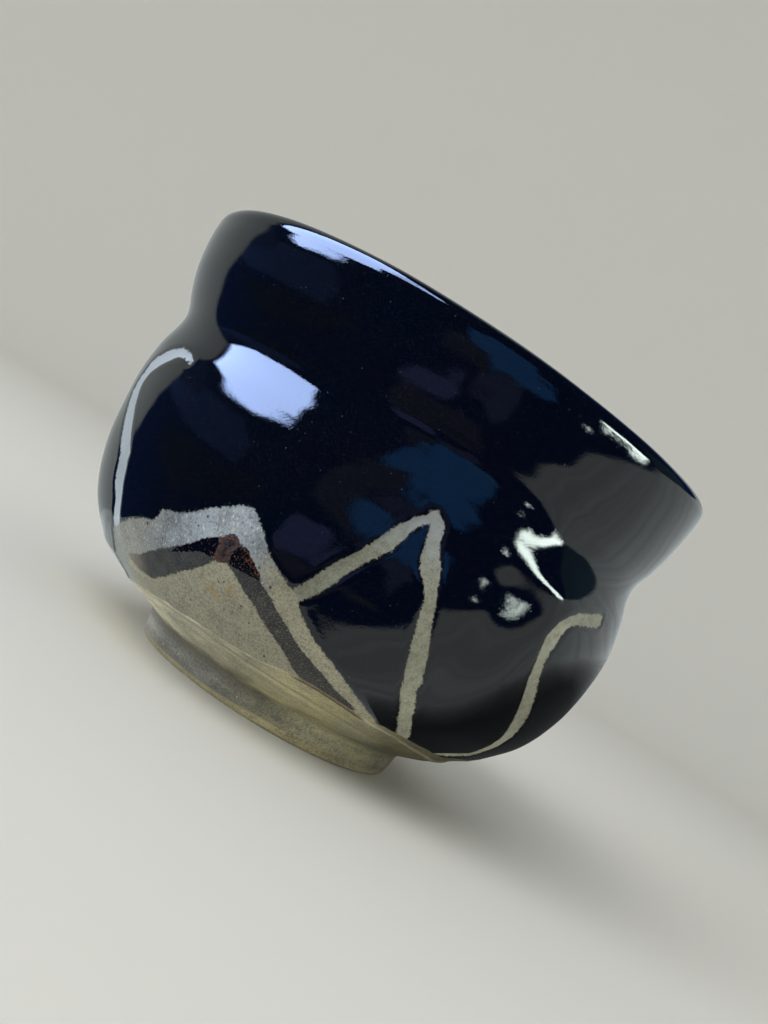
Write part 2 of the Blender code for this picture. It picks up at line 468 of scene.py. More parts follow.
def ease(value, low, high):
    """0 below low, 1 above high, and smooth between."""
    share = np.clip((value - low) / (high - low), 0, 1)
    return share * share * (3 - 2 * share)


def sway_at(height):
    """How far the wall leans towards +X at each height."""
    lean = SWAY_LEANS[0]
    leans = zip(SWAY_HEIGHTS, SWAY_HEIGHTS[1:], SWAY_LEANS, SWAY_LEANS[1:])
    for low, high, left, right in leans:
        lean = np.where(height > low, left + (right - left) * ease(height, low, high), lean)
    return lean


def rim_rise(azimuth, height):
    """The rim's wave and tilt, at full height on the lip and dying out at the waist."""
    share = np.clip((height - WAIST_HEIGHT) / (LIP_HEIGHT - WAIST_HEIGHT), 0, 1)
    wave = RIM_WAVE * np.sin(2 * np.radians(RIM_WAVE_AZIMUTH - azimuth))
    tilt = RIM_TILT * np.cos(np.radians(azimuth - RIM_TILT_AZIMUTH))
    return share * (wave + tilt)


def smooth_curve(value, knots, levels):
    """A smooth curve that passes through the levels at the knots, and is level outside them."""
    knots, levels = np.asarray(knots), np.asarray(levels)
    slopes = np.gradient(levels, knots)
    slopes[[0, -1]] = 0
    left = np.clip(np.searchsorted(knots, value) - 1, 0, len(knots) - 2)
    span = knots[left + 1] - knots[left]
    share = np.clip((value - knots[left]) / span, 0, 1)
    rest = 1 - share
    bend = rest * slopes[left] - share * slopes[left + 1]
    rise = (levels[left + 1] - levels[left]) * share * share * (3 - 2 * share)
    return levels[left] + rise + share * rest * span * bend


def press_in(places, azimuth, height):
    """Pushes the belly in at the front, where the wall is straighter than at the sides."""
    left, full_left, full_right, right = PRESS_AZIMUTHS
    share = ease(azimuth, left, full_left) * (1 - ease(azimuth, full_right, right))
    depth = smooth_curve(height, PRESS_HEIGHTS, PRESS_DEPTHS) * share
    for turn, rise, wide, below, above, out in SWELLINGS:
        tall = np.where(height < rise, below, above)
        depth += out * np.exp(-((azimuth - turn) / wide)**2 - ((height - rise) / tall)**2)
    outward = places[:, :2] / np.maximum(1, np.linalg.norm(places[:, :2], axis=1))[:, None]
    places[:, :2] += outward * depth[:, None]


def on_wall(path, profile):
    """The places of (azimuth, height) points on the wall, between which the path is filled in."""
    path = np.asarray(path, float)
    stations = np.arange(0, len(path) - 1 + 1e-9, PATH_STEP)
    filled = np.stack([np.interp(stations, np.arange(len(path)), column) for column in path.T])
    azimuth, height = np.radians(filled[0]), filled[1]
    radius = np.interp(height, profile[:, 1], profile[:, 0])
    lean = sway_at(height)
    reach = lean * np.sin(azimuth) + np.sqrt(radius**2 - (lean * np.cos(azimuth))**2)
    spots = np.stack([reach * np.sin(azimuth), -reach * np.cos(azimuth), height], axis=1)
    widths = filled[2] if len(filled) > 2 else np.zeros(len(spots))
    return spots, widths


def gap_to_path(places, spots, widths):
    """Distance from each place to the nearest edge of a path of that half width."""
    gap = np.full(len(places), FAR)
    for here, there, low, high in zip(spots, spots[1:], widths, widths[1:]):
        run = there - here
        share = np.clip((places - here) @ run / (run @ run), 0, 1)
        away = np.linalg.norm(places - here - share[:, None] * run, axis=1)
        gap = np.minimum(gap, away - (low + (high - low) * share))
    return gap


def within(azimuth, height, outline):
    """Whether each place lies inside an outline of (azimuth, height) corners."""
    inside = np.zeros(len(azimuth), bool)
    for (a0, h0), (a1, h1) in zip(outline, outline[1:] + outline[:1]):
        crosses = (h0 > height) != (h1 > height)
        if h0 != h1:
            inside ^= crosses & (azimuth < a0 + (height - h0) * (a1 - a0) / (h1 - h0))
    return inside


def gap_to_area(places, azimuth, height, outline, profile):
    """Distance from each place to an area's edge, below zero inside it."""
    spots, widths = on_wall(outline + outline[:1], profile)
    gap = gap_to_path(places, spots, widths)
    return np.where(within(azimuth, height, outline), -gap, gap)


def read(items, name, kind=np.float32, width=1):
    """One property of every item of a mesh, as an array."""
    values = np.zeros(len(items) * width, kind)
    items.foreach_get(name, values)
    return values


def read_vectors(data, name):
    """The "co", its place, or the "normal" of each vertex."""
    return read(data.vertices, name, width=3).reshape(-1, 3).astype(float)


def write_points(data, places):
    data.vertices.foreach_set("co", np.asarray(places, np.float32).ravel())
    data.update()


def azimuths(places):
    return np.degrees(np.arctan2(places[:, 0], -places[:, 1]))


def shape_by_hand(data, parts):
    """Leans and waves the turned form, and lays the edges of the brush work on it."""
    part = parts[read(data.attributes["row"].data, "value").round().astype(int)]
    data.attributes.remove(data.attributes["row"])
    places = read_vectors(data, "co")
    azimuth = azimuths(places)
    places[:, 0] += sway_at(places[:, 2])
    places[:, 2] += rim_rise(azimuth, places[:, 2])
    write_points(data, places)
    azimuth, height = azimuths(places), places[:, 2]

    profile = np.concatenate([smooth_path(UNDERSIDE), smooth_path(BODY)])
    outer = (part == WALL) | (part == UNDER)
    spot, turn, rise = places[outer], azimuth[outer], height[outer]
    areas = {"crust": BLACK_CRUSTS, "window": [WINDOW], "iron": [IRON_STROKE],
             "inside": [PANE_INSIDE], "rust": [RUST_BLOB], "margin": [RUST_MARGIN]}
    found = {name: [gap_to_area(spot, turn, rise, outline, profile) for outline in outlines]
             for name, outlines in areas.items()}
    found["line"] = [gap_to_path(spot, *on_wall(line, profile)) for line in RESERVE_LINES]
    gaps = {}
    for name, nearby in found.items():
        gaps[name] = np.full(len(places), FAR)
        gaps[name][outer] = np.minimum.reduce(nearby)
    for name, turns, edge in LEVELS:
        gaps[name] = height - np.interp(azimuth, turns, edge)
    gaps["coat"][part >= LIP] = FAR
    gaps["coat"][part == FOOT] = -FAR

    bared = np.minimum(gaps["line"], gaps["window"])
    coat = ease(bared, *LINE_STEP) * ease(gaps["coat"], *COAT_STEP)
    bead = np.exp(-((bared - BEAD_REACH) / BEAD_WIDTH)**2) * coat
    ridge = np.exp(-(gaps["ridge"] / RIDGE_WIDTH)**2) * (part == UNDER)
    lift = GLAZE_COAT * (coat - 1) + GLAZE_BEAD * bead + RIDGE_RISE * ridge
    places += read_vectors(data, "normal") * np.where(outer, lift, 0.0)[:, None]
    press_in(places, azimuth, np.where(part == FOOT, 0, height))
    write_points(data, places)
    for name, gap in gaps.items():
        kept = data.attributes.new(name + "_gap", "FLOAT", "POINT")
        kept.data.foreach_set("value", np.clip(gap, -FAR, FAR).astype(np.float32))
    return part


def give_finishes(data, part, finishes):
    """Gives each face the finish of the part of the section that it comes from."""
    data.materials.clear()
    for finish in finishes:
        data.materials.append(finish)
    corners = read(data.loops, "vertex_index", np.int32)
    starts = read(data.polygons, "loop_start", np.int32)
    highest = np.maximum.reduceat(part[corners], starts)
    index = np.where(highest >= INSIDE, 1, np.where(highest == FOOT, 2, 0))
    data.polygons.foreach_set("material_index", index.astype(np.int32))


# --- Finishes ---


class Finish(Graph):
    """A material with one or two shaders."""

    def __init__(self, name):
        self.material = bpy.data.materials.new(name)
        self.material.use_nodes = True
        super().__init__(self.material.node_tree)

    @cached_property
    def place(self):
        return self.node("ShaderNodeTexCoord", None, None, "Object")

    def gap(self, name):
        return self.node("ShaderNodeAttribute", {"attribute_name": name + "_gap"}, None, "Fac")

    def azimuth_and_height(self):
        """In degrees and in millimetres."""
        x, y, z = self.axes(self.place)
        return math_node("ARCTAN2", x, y * -1) * math.degrees(1), z / MM

    def gap_to_marks(self, marks):
        """Distance in millimetres to the nearest of some round marks on the wall."""
        azimuth, height = self.azimuth_and_height()
        spot = self.node("ShaderNodeCombineXYZ", None, {"X": azimuth * ARC, "Y": height})
        nearest = FAR
        for turn, rise, radius in marks:
            away = self.node("ShaderNodeVectorMath", {"operation": "DISTANCE"},
                             {0: spot, 1: (turn * ARC, rise, 0)}, "Value")
            nearest = (away - radius).least(nearest)
        return nearest

    def noise(self, size, detail=2, roughness=0.5, stretch=(1, 1, 1)):
        """Noise with features of about that size in millimetres, from about -0.5 to 0.5."""
        found = self.node("ShaderNodeTexNoise", None, {
            "Vector": self.stretched(self.place, stretch), "Scale": 1 / (size * MM),
            "Detail": detail, "Roughness": roughness})
        return found - 0.5

    def specks(self, spacing, radius, share):
        """Round specks: 1 inside, 0 outside, in a share of cells of that spacing, in mm."""
        settings = {"feature": "F1"}
        inputs = {"Vector": self.place, "Scale": 1 / (spacing * MM)}
        away = self.node("ShaderNodeTexVoronoi", settings, inputs, "Distance")
        colour = self.node("ShaderNodeTexVoronoi", settings, inputs, "Color")
        chance = self.node("ShaderNodeSeparateColor", None, {"Color": colour}, "Red")
        size = self.node("ShaderNodeSeparateColor", None, {"Color": colour}, "Green")
        reach = (0.35 + 0.65 * size) * (radius / spacing)
        chosen = (chance * -40 + 40 * share + 0.5).held()
        return ((reach - away) * (spacing / radius) * 3 + 0.5).held() * chosen

    def surface(self, colour, roughness, height, ior, coat=None):
        """A Principled shader. The height of its relief is in metres."""
        normal = self.node("ShaderNodeBump", None,
                           {"Strength": 1, "Distance": 1, "Height": height})
        inputs = {"Base Color": colour, "Roughness": roughness, "IOR": ior, "Normal": normal}
        if coat:
            inputs.update({"Coat Weight": coat, "Coat Roughness": SHEEN_ROUGHNESS})
        return self.node("ShaderNodeBsdfPrincipled", None, inputs)

    def finish(self, shader):
        self.node("ShaderNodeOutputMaterial", None, {"Surface": shader})
        return self.material


def ramp(gap, at, width):
    """1 well below a value, 0 well above it."""
    return (0.5 - (gap - at) / width).held()


def near(value, middle, reach, width):
    """1 within reach of a value on both sides, 0 well beyond."""
    return ramp((value - middle).unsigned(), reach, width)


def around(value, middle, reach):
    """1 at a value, falling to 0 on both sides of it."""
    return (1 - (value - middle).unsigned() / reach).held()


def above(value, level, slope):
    """0 up to a level, and rising to 1 above it."""
    return ((value - level) * slope).held()


def follow(value, stops, levels):
    """Straight pieces through the levels at the stops."""
    total = levels[0]
    for start, end, low, high in zip(stops, stops[1:], levels, levels[1:]):
        total = ((value - start) / (end - start)).held() * (high - low) + total
    return total


def blend(mask, under, over):
    return mask.graph.node("ShaderNodeMix", {"data_type": "RGBA"},
                           {"Factor": mask, "A": under, "B": over}, "Result")


def layers(colour, *coats):
    """Lays other colours over a colour in turn, each through its mask."""
    for mask, over in coats:
        colour = blend(mask, colour, over)
    return colour


# Millimetres along the wall for a degree of azimuth, where the small marks are
ARC = 0.9
# How quickly the glaze ends at the edge of a bare line
EDGE_FADE = 0.16

GLAZE_IOR = 1.56
GLAZE_ROUGHNESS = 0.025
BARE_IOR = 1.36
CLAY_ROUGHNESS = 0.58
SHEEN_ROUGHNESS = 0.28

BLACK_GLAZE = (0.0004, 0.0008, 0.002)
BLACK_GLAZE_WARM = (0.0016, 0.0012, 0.0018)
THIN_GLAZE = (0.02, 0.016, 0.01)
# Painted sparkle: bluish flecks and specks in the black, standing in for glints of the room's
# light
PAINTED_SPARKLE = (0.08, 0.115, 0.165)
RESERVE_CREAM = (0.335, 0.34, 0.255)
RESERVE_SHADE = (0.18, 0.175, 0.125)
# Bluish white: partly a thin whitish glaze, partly painted sheen of the window's light
MILK_AND_PAINTED_SHEEN = (0.322, 0.365, 0.405)
MILK_SHADE = (0.13, 0.14, 0.14)
PANE_CREAM = (0.312, 0.297, 0.212)
PANE_SHADE = (0.17, 0.155, 0.115)
STAIN = (0.3, 0.2, 0.07)
IRON_GREY = (0.04, 0.039, 0.038)
IRON_DARK = (0.014, 0.013, 0.014)
IRON_GRAIN = (0.16, 0.15, 0.12)
IRON_RED = (0.16, 0.095, 0.06)
RUST = (0.085, 0.033, 0.012)
RUST_DARK = (0.006, 0.003, 0.002)
CRUST = (0.0015, 0.0014, 0.0016)
CRUST_GRAIN = (0.2, 0.105, 0.04)
CLAY = (0.52, 0.485, 0.345)
CLAY_DARK = (0.21, 0.19, 0.125)
# Painted shade: the foot wall's clay, darker and greyer than the underside
FOOT_CLAY_PAINTED_SHADE = (0.29, 0.28, 0.235)
FOOT_DARK_PAINTED_SHADE = (0.15, 0.145, 0.12)
# Painted light: the pale band along the foot's lower edge
FOOT_BAND_PAINTED_LIGHT = (0.45, 0.385, 0.205)
WARM_CLAY = (0.45, 0.398, 0.185)
# Warmer foot wall, also in painted shade
WARM_FOOT_PAINTED_SHADE = (0.37, 0.34, 0.2)
# Warmer pale band, also painted light
WARM_BAND_PAINTED_LIGHT = (0.57, 0.49, 0.29)
# Brown of the painted shade in the foot's concave junction and along the crease
PAINTED_SHADE_BROWN = (0.15, 0.125, 0.075)
# Painted highlight along the crests of the turned ridges
PAINTED_LEDGE_HIGHLIGHT = (0.7, 0.66, 0.54)
RED_LINE = (0.22, 0.115, 0.075)
# Painted shade in the thin cut under the coating's edge
PAINTED_GROOVE_SHADE = (0.07, 0.05, 0.03)
SPECK = (0.02, 0.018, 0.016)
FELDSPAR = (0.62, 0.6, 0.5)

# Painted light and shade: how light clay, window and lines are by azimuth, lines by height too
UNDER_STOPS = [-100, -60, -41, -30, -5, 7, 20, 31, 40, 60, 80]
UNDER_PAINTED_LIGHT = [1, 2.1, 1.8, 1.12, 1, 1.4, 1.05, 0.76, 0.46, 0.55, 1]
FOOT_STOPS = [-100, -60, -48, -38, -26, -12, 0, 10, 21, 32, 45, 80]
FOOT_PAINTED_LIGHT = [1, 1.15, 0.66, 0.66, 0.72, 0.64, 0.74, 1.02, 1.7, 1.68, 1.28, 1]
PANE_STOPS = [-46, -40, -30, -12, -2, 8, 18]
PANE_PAINTED_LIGHT = [1.4, 1.15, 1.04, 1, 1.06, 1.38, 1.5]
MILK_STOPS = [-42, -34, -30, -24, -17, -11]
MILK_PAINTED_LIGHT = [0.58, 0.64, 0.8, 1, 0.95, 0.58]
LINE_STOPS = [16, 20, 28]
LINE_PAINTED_LIGHT = [1.38, 1.5, 1]
LIMB_STOPS = [-20, -4, 3, 9, 13, 34, 42, 50]
LIMB_PAINTED_LIGHT = [1, 0.67, 0.73, 0.9, 1, 1, 1.35, 1.2]


def bare_clay(finish):
    """Colour and height of the turned clay: sandy, with lines from the tool."""
    azimuth, height = finish.azimuth_and_height()
    broad = finish.noise(7, 3)
    blotch = finish.noise(2.2, 3, stretch=(0.5, 0.5, 1))
    sand = finish.noise(0.42, 3, 0.7)
    turning = finish.noise(0.8, 2, stretch=(0.08, 0.08, 1))
    shade = (0.58 + broad * 0.9 + blotch * 1.5 + sand * 2.9 + turning * 0.8).held()
    warm = near(azimuth, 35, 38, 30)
    under = blend(shade, CLAY_DARK, blend(warm, CLAY, WARM_CLAY))
    # Painted light and shade: the underside lighter or darker by azimuth
    under = scaled(under, follow(azimuth, UNDER_STOPS, UNDER_PAINTED_LIGHT))
    # The foot wall's colour, in painted shade
    foot = blend(shade, FOOT_DARK_PAINTED_SHADE, blend(warm, FOOT_CLAY_PAINTED_SHADE, WARM_FOOT_PAINTED_SHADE))
    # Painted light and shade on the foot wall: tones by azimuth, and a lit strip about 2.8 mm up
    # on its left half
    painted_foot_light = around(height, 2.8, 1.8) * ramp(azimuth, -2, 6)
    foot = scaled(foot, follow(azimuth, FOOT_STOPS, FOOT_PAINTED_LIGHT) * (1 + painted_foot_light * 0.4))
    # Painted shade in the concave junction above the foot wall, on the left and front
    painted_neck_shade = around(height + blotch, 5.3, 1.3) * ramp(azimuth, 2, 12)
    # Painted light along the foot's lower edge, below the band's level
    band = ramp(finish.gap("band") + blotch * 0.8 + sand * 0.8, 0, 0.4)
    painted_band_light = blend(shade, CLAY_DARK, blend(warm, FOOT_BAND_PAINTED_LIGHT, WARM_BAND_PAINTED_LIGHT))

    front = near(azimuth, -12, 40, 8)
    red = near(azimuth, 13, 9, 3)
    ridge = finish.gap("ridge") + sand * 0.4 + turning * 0.3
    coat_gap = finish.gap("coat") + sand * 0.2
    crease_gap = finish.gap("crease") + sand * 0.4 + turning * 0.3
    # The ridges' crests: raised a little in the relief, with a painted highlight, strongest in
    # front
    ledge_and_painted_highlight = (around(ridge, 0.15, 0.32) * (0.55 + front * 0.45) * (0.8 + blotch)).held()
    lower_ledge_and_painted_highlight = around(crease_gap, -0.65, 0.5) * (0.4 + blotch * 1.5).held()
    # Dark lines along the crease and 1.5 mm below it: shallow furrows in the relief, darkened with
    # painted shade
    creases_and_painted_shade = (around(crease_gap, 0, 0.4).most(around(crease_gap, -1.5, 0.35) * 0.6)
               * (0.55 + blotch * 2)).held()
    # A thin cut just under the coating's edge where it runs red, darkened with painted shade
    groove_and_painted_shade = around(coat_gap, -0.45, 0.24) * red
    pits = finish.specks(1.1, 0.2, 0.3)
    colour = layers(
        under,
        (ramp(height + blotch * 1.2, 6.2, 1.2), foot),
        (painted_neck_shade * (0.5 + blotch).held(), PAINTED_SHADE_BROWN),
        (band * 0.95, painted_band_light),
        (ledge_and_painted_highlight * 0.75, PAINTED_LEDGE_HIGHLIGHT),
        (lower_ledge_and_painted_highlight * front * 0.35, PAINTED_LEDGE_HIGHLIGHT),
        (creases_and_painted_shade * (0.35 + front * 0.4), PAINTED_SHADE_BROWN),
        (around(coat_gap, -0.08, 0.36) * red * 0.9, RED_LINE),
        (groove_and_painted_shade * 0.9, PAINTED_GROOVE_SHADE),
        (finish.specks(1.5, 0.17, 0.25), SPECK),
        (finish.specks(1.3, 0.16, 0.3) * 0.8, FELDSPAR),
        (pits * 0.5, CLAY_DARK))
    relief = (sand * 0.07 + turning * 0.12 + blotch * 0.1 - pits * 0.1 + ledge_and_painted_highlight * 0.12
              + lower_ledge_and_painted_highlight * 0.1 - creases_and_painted_shade * 0.14 - groove_and_painted_shade * 0.3)
    return colour, relief * MM


def glaze_skin(finish):
    """The glaze's own small relief in metres, and its pinholes: orange peel and throwing marks."""
    peel = finish.noise(0.42, 2, 0.75)
    slow = finish.noise(2.6, 1)
    marks = finish.noise(1.5, 2, stretch=(0.14, 0.14, 1))
    pinholes = finish.specks(3, 0.16, 0.2)
    bumps = finish.specks(2.3, 0.18, 0.16)
    relief = peel * 0.0085 + slow * 0.005 + marks * 0.003 - pinholes * 0.05 + bumps * 0.02
    return relief * MM, pinholes


def black_glaze(finish):
    tone = (0.35 + finish.noise(14, 3) * 2).held()
    grain = above(finish.noise(0.26, 1, 0.7), 0.05, 7)
    # Fine grain and specks of painted sparkle over the black
    return layers(BLACK_GLAZE, (tone, BLACK_GLAZE_WARM), (grain * 0.045, PAINTED_SPARKLE),
                  (finish.specks(0.95, 0.1, 0.22) * 0.7, PAINTED_SPARKLE))


def window_paint(finish, grain, pits):
    """The window's colour, where it is whitish with painted sheen, where its crusts are wet, and
    its relief in mm.
    """
    azimuth, _ = finish.azimuth_and_height()
    mottle = finish.noise(3.2, 3)
    sand = finish.noise(0.5, 2, 0.65)
    edge = finish.noise(0.6, 3) * 0.8 + finish.noise(3, 2) * 0.7
    cream = blend((0.62 + mottle * 1.2 + sand * 2.8 + grain * 2.4).held(), PANE_SHADE, PANE_CREAM)
    # Painted light and shade: the window's cream lighter or darker by azimuth
    cream = scaled(cream, follow(azimuth, PANE_STOPS, PANE_PAINTED_LIGHT))
    # The whitish parts: a thin whitish glaze with painted bluish sheen, lighter or darker by
    # azimuth as painted light
    milk_and_painted_sheen = blend((0.72 + mottle * 2 + sand * 2 + grain * 2.2).held(), MILK_SHADE, MILK_AND_PAINTED_SHEEN)
    milk_and_painted_sheen = scaled(milk_and_painted_sheen, follow(azimuth, MILK_STOPS, MILK_PAINTED_LIGHT))
    fibres = above(finish.noise(0.4, 2, 0.65, (1, 1, 0.4)), 0.08, 9)
    milk_and_painted_sheen = blend(fibres * 0.75, milk_and_painted_sheen, FELDSPAR)
    outside = ramp(finish.gap("inside") * -1 + mottle * 1.5, -0.4, 0.8)
    milky_and_painted_sheen = outside * ramp(azimuth + mottle * 6, -11, 6)
    milky_and_painted_sheen = milky_and_painted_sheen * (1 - ramp(azimuth + mottle * 8, -36, 8) * 0.45)
    stained = ramp(finish.gap_to_marks(STAINS) + edge * 1.3, 0.05, 0.6)

    iron = ramp(finish.gap("iron") + edge, 0, 0.35)
    depth = finish.noise(2.4, 3)
    pepper = above(finish.noise(0.3, 2, 0.7), 0.02, 7)
    peppered = pepper * (0.35 + ramp(azimuth * -1, 14, 16) * 0.45)
    tail = ramp(azimuth + depth * 6, -42, 7)
    iron_colour = layers(IRON_DARK, ((0.55 + depth * 2.2).held(), IRON_GREY),
                         (peppered, IRON_GRAIN), (tail * 0.7, IRON_RED))

    crust = ramp(finish.gap("crust") + edge * 0.8, 0, 0.25)
    fewer = 0.085 + ramp(azimuth, -20, 3) * 0.03
    grains = above(finish.noise(0.36, 2, 0.7), fewer, 12)
    margin = ramp(finish.gap("margin") + edge * 0.5, 0, 0.3)
    flecks = above(finish.noise(0.42, 2, 0.7), -0.03, 10)
    rust_gap = finish.gap("rust") + edge * 0.45
    rust = ramp(rust_gap, 0, 0.25)
    rim = ramp(rust_gap * -1, 0.75, 0.6)
    speckle = (0.5 + finish.noise(0.4, 2, 0.7) * 5).held()
    cracks = finish.node("ShaderNodeTexVoronoi", {"feature": "DISTANCE_TO_EDGE"},
                         {"Vector": finish.place, "Scale": 1 / (0.75 * MM)}, "Distance")
    rusty = layers(RUST_DARK, ((rim * 0.8 + speckle * 0.4).held(), RUST),
                   (ramp(cracks, 0.05, 0.06) * 0.7, CRUST))
    specks = ramp(finish.gap_to_marks(DARK_SPECKS) + sand * 0.2, 0.02, 0.12)
    colour = layers(
        cream,
        (milky_and_painted_sheen, milk_and_painted_sheen),
        (pits * (0.3 + milky_and_painted_sheen * 0.6), SPECK),
        (stained * 0.55, STAIN),
        (iron * (0.97 - tail * 0.5), iron_colour),
        (crust, blend(grains * 0.85, CRUST, CRUST_GRAIN)),
        (margin * flecks * 0.9, RUST),
        (rust, rusty),
        (specks * 0.9, SPECK))
    wet = (crust * (1 - grains)).held() * (1 - rust)
    relief = crust * 0.08 + crust * grains * 0.1 + rust * (0.14 + speckle * 0.12) + iron * 0.02
    return colour, milky_and_painted_sheen * (1 - iron) * (1 - crust) * (1 - rust), wet, relief


def outside_finish():
    """Black glaze over the wall, with the lines and the window left free, and clay below."""
    finish = Finish("black_glaze_outside")
    azimuth, height = finish.azimuth_and_height()
    frayed = finish.noise(0.3, 2, 0.6)
    ragged = finish.noise(0.8, 2) * 0.7 + finish.noise(2.4, 2) * 0.35 + frayed * 1.3
    line = ramp(finish.gap("line") + ragged, 0, EDGE_FADE)
    window = ramp(finish.gap("window") + ragged * 1.3, 0, EDGE_FADE)
    bared = line.most(window)
    nearest = finish.gap("line").least(finish.gap("window")) + ragged
    coat_gap = finish.gap("coat") + finish.noise(3, 2) * 0.35 + frayed * 0.25
    coated = 1 - ramp(coat_gap, 0, EDGE_FADE)
    thin = (ramp(nearest, 0.22, 0.35) * 0.6).most(ramp(coat_gap, 0.35, 0.5) * 0.8)

    wash = finish.noise(1.4, 3)
    pits = finish.specks(0.85, 0.11, 0.22)
    cream = blend((0.62 + wash * 1.6 + frayed * 2.6).held(), RESERVE_SHADE, RESERVE_CREAM)
    left_side = ramp(azimuth, -46, 4) * ramp(azimuth * -1, 100, 20)
    # Painted sheen: lines on the left, and the limbs near 49 mm up, made bluish white as if lit by
    # the window
    painted_window_sheen = left_side * 0.9 + around(height, 49, 9) * ramp(azimuth, 32, 5) * 0.6
    painted_window_sheen = (painted_window_sheen + wash * 0.8 * around(height, 42, 12)).held()
    # Painted light and shade on the lines: by height, and by azimuth along the limbs
    painted_line_light = follow(height, LINE_STOPS, LINE_PAINTED_LIGHT) * follow(azimuth, LIMB_STOPS, LIMB_PAINTED_LIGHT)
    cream = scaled(blend(painted_window_sheen, cream, MILK_AND_PAINTED_SHEEN), painted_line_light)
    pane, milky_and_painted_sheen, wet, pane_relief = window_paint(finish, frayed, pits)
    clay, clay_height = bare_clay(finish)
    bare = blend(coated, clay, layers(cream, (pits * 0.4, SPECK), (window, pane)))

    skin, pinholes = glaze_skin(finish)
    bubbles = finish.specks(1.9, 0.26, 0.12)
    bare_relief = (frayed * 0.035 + wash * 0.03 - pits * 0.06 + bubbles * 0.05 * milky_and_painted_sheen
                   + pane_relief * window) * MM
    bare_height = bare_relief * coated + clay_height * (1 - coated)
    sheen = ((milky_and_painted_sheen * window + line * (0.25 + painted_window_sheen * 0.6)) * coated).held()
    bare_shader = finish.surface(bare, 0.5 + frayed * 0.2, bare_height, BARE_IOR, sheen)
    glaze_colour = layers(black_glaze(finish), (thin, THIN_GLAZE), (bared, pane))
    glaze_shader = finish.surface(glaze_colour, GLAZE_ROUGHNESS + pinholes * 0.2,
                                  skin + bared * frayed * (0.03 * MM), GLAZE_IOR)
    glossy = coated * (1 - bared * (1 - wet * window))
    both = finish.node("ShaderNodeMixShader", None, {0: glossy, 1: bare_shader, 2: glaze_shader})
    return finish.finish(both)


def inside_finish():
    """The same black glaze, smoother."""
    finish = Finish("black_glaze_inside")
    skin, pinholes = glaze_skin(finish)
    roughness = GLAZE_ROUGHNESS + pinholes * 0.3
    return finish.finish(finish.surface(black_glaze(finish), roughness, skin, GLAZE_IOR))


def foot_finish():
    finish = Finish("turned_bare_clay")
    colour, height = bare_clay(finish)
    return finish.finish(finish.surface(colour, CLAY_ROUGHNESS, height, BARE_IOR))


# --- The bowl ---


def make_tea_bowl():
    points, parts = section()
    source = bpy.data.meshes.new("section")
    corners = [(radius, 0, height) for radius, height in points]
    source.from_pydata(corners, [(i, i + 1) for i in range(len(points) - 1)], [])
    outside = outside_finish()
    bowl = evaluated_piece("tea_bowl_glazed", source, turned_form_tree(),
                           {**TURNING, "Finish": outside})
    data = bowl.data
    face_outwards(data)
    part = shape_by_hand(data, parts)
    give_finishes(data, part, [outside, inside_finish(), foot_finish()])
    data.transform(Matrix.Scale(MM, 4))
    data.shade_smooth()
    data.set_sharp_from_angle(angle=math.radians(SHARP_ANGLE))
    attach(bowl, "root")
    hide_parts("tea_bowl")


# --- Floor, lights and camera, in metres ---

COVE_FLOOR = 0.9
COVE_BEND = 0.5
COVE_WALL = 1.3
COVE_STEPS = 16
COVE_SEGMENTS = 96
COVE_WELD = 0.0001
COVE_COLOUR = (0.75, 0.742, 0.7)


def plain_finish(name, kind, colour, more=None):
    """A material with one shader of one colour."""
    finish = Finish(name)
    return finish.finish(finish.node(kind, None, {"Color": colour, **(more or {})}))


def glow(name, colour, strength):
    return plain_finish(name, "ShaderNodeEmission", colour, {"Strength": strength})


def make_cove():
    """A pale floor that curves up into a wall all round."""
    bend = [(COVE_FLOOR + COVE_BEND * math.sin(turn), COVE_BEND * (1 - math.cos(turn)))
            for turn in np.linspace(0, math.pi / 2, COVE_STEPS)]
    outline = [(0, 0), *bend, (COVE_FLOOR + COVE_BEND, COVE_WALL)]
    mesh = bmesh.new()
    ring = [mesh.verts.new((radius, 0, height)) for radius, height in outline]
    edges = [mesh.edges.new(pair) for pair in zip(ring, ring[1:])]
    bmesh.ops.spin(mesh, geom=ring + edges, cent=(0, 0, 0), axis=(0, 0, 1),
                   angle=math.tau, steps=COVE_SEGMENTS)
    bmesh.ops.remove_doubles(mesh, verts=mesh.verts, dist=COVE_WELD)
    data = bpy.data.meshes.new("pale_floor")
    mesh.to_mesh(data)
    mesh.free()
    data.shade_smooth()
    data.materials.append(plain_finish("pale_paper", "ShaderNodeBsdfDiffuse", COVE_COLOUR))
    cove = new_object("pale_floor", data)
    cove.visible_glossy = False


def make_card(name, corners, faces, glows):
    """Glowing faces that only show in the glaze."""
    data = bpy.data.meshes.new(name)
    data.from_pydata(corners, [], faces)
    for finish in glows:
        data.materials.append(finish)
    card = new_object(name, data)
    for rays in ("camera", "diffuse", "shadow", "transmission", "volume_scatter"):
        setattr(card, "visible_" + rays, False)
    return card


def make_plain_card(name, corners, *glow_facts):
    """A card of one face, and the name, colour and strength of its glow."""
    make_card(name, corners, [range(len(corners))], [glow(*glow_facts)])


def towards(azimuth, elevation):
    turn, rise = math.radians(azimuth), math.radians(elevation)
    return Vector((math.sin(turn) * math.cos(rise), -math.cos(turn) * math.cos(rise),
                   math.sin(rise)))


def around_bowl(outline, distance):
    """Corners in azimuth and elevation, at a distance from the middle of the bowl."""
    return [BOWL_MIDDLE + towards(*corner) * distance for corner in outline]


BOWL_MIDDLE = Vector((0, 0, 0.05))
CARD_DISTANCE = 0.85

LAMP_COLOUR = (0.86, 1, 0.93)
WINDOW_COLOUR = (0.42, 0.575, 1)
